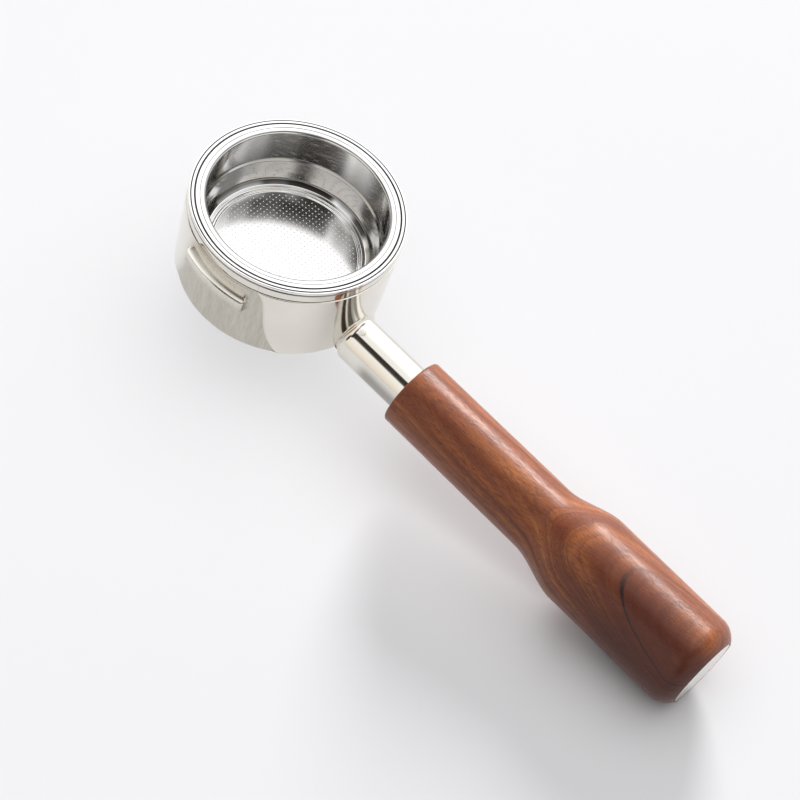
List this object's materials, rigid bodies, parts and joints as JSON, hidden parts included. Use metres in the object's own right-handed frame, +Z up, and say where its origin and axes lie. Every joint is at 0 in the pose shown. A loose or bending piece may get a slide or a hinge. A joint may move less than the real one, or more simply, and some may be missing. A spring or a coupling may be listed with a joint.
{
  "type": "bottomless portafilter",
  "caption": "Bottomless espresso portafilter: polished steel cup with bayonet ears, lift-out filter basket, cast neck and turned rosewood grip with a steel end disc.",
  "frame": {"origin": "middle of the bounding box's underside", "axes": "+Z up out of the cup, square to its rim; +X from the cup along the handle, which falls 5.4 degrees below it; +Y to the side, through one ear"},
  "size_m": [0.2228, 0.0768, 0.0646],
  "materials": {
    "polished_steel": "cast stainless steel, mirror polished, with brushed pads round the ears",
    "basket_steel": "bright drawn stainless steel sheet",
    "spring_steel": "round stainless spring wire",
    "rosewood": "oiled rosewood, satin",
    "plated_steel": "zinc-plated steel",
    "black_rubber": "matt black rubber",
    "cap_steel": "turned stainless disc, satin face"
  },
  "bodies": {
    "cup": {"cup_body": "polished_steel", "wooden_grip": "rosewood", "handle_stud": "plated_steel", "neck_o_ring": "black_rubber", "flat_washer": "plated_steel", "spring_washer": "plated_steel", "hex_nut": "plated_steel", "end_cap": "cap_steel", "cap_o_ring": "black_rubber"},
    "spring_ring": {"basket_spring": "spring_steel"},
    "basket": {"filter_basket": "basket_steel"}
  },
  "joints": [
    {"name": "basket_turn", "type": "hinge", "parent": "cup", "child": "spring_ring", "pos_m": [-0.07633, 0, 0.04758], "axis": [0, 0, 1], "continuous": true},
    {"name": "basket_lift", "type": "slide", "parent": "spring_ring", "child": "basket", "axis": [0, 0, 1], "range_m": [0, 0.045]}
  ]
}
